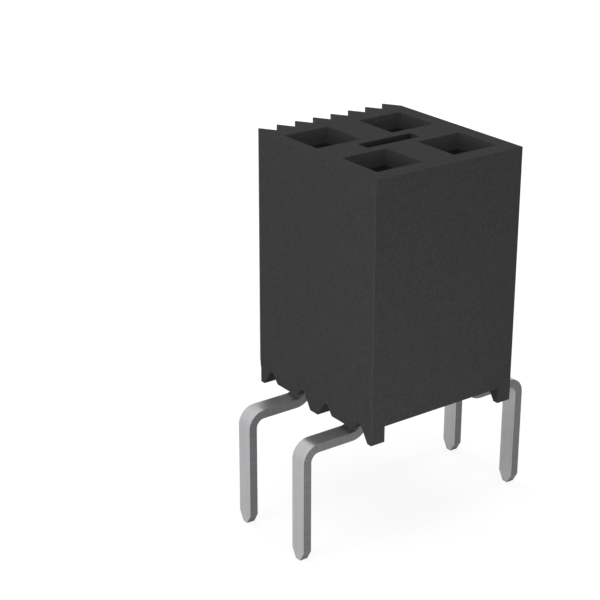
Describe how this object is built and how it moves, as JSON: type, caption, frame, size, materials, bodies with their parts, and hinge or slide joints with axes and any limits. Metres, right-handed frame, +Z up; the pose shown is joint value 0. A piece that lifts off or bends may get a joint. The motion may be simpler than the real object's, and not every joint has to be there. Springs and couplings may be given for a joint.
{
  "type": "socket strip",
  "caption": "Small dual-row socket strip: ridged moulded housing with tapered square entries over spring contacts, whose flat tails bend outward and down into a board.",
  "frame": {"origin": "on the board, midway between the two tail rows and midway along the housing without its ridges", "axes": "+X across the strip from row to row, +Y along the strip towards the ridged end, +Z up from the board to the openings"},
  "size_m": [0.0078, 0.0055, 0.0109],
  "materials": {
    "housing": "fine matte moulded grain",
    "contact": "satin tin plate over copper alloy, with sheared edges"
  },
  "bodies": {
    "root": {"housing": "housing", "contact_left_1": "contact", "contact_left_2": "contact", "contact_right_1": "contact", "contact_right_2": "contact"}
  },
  "joints": []
}
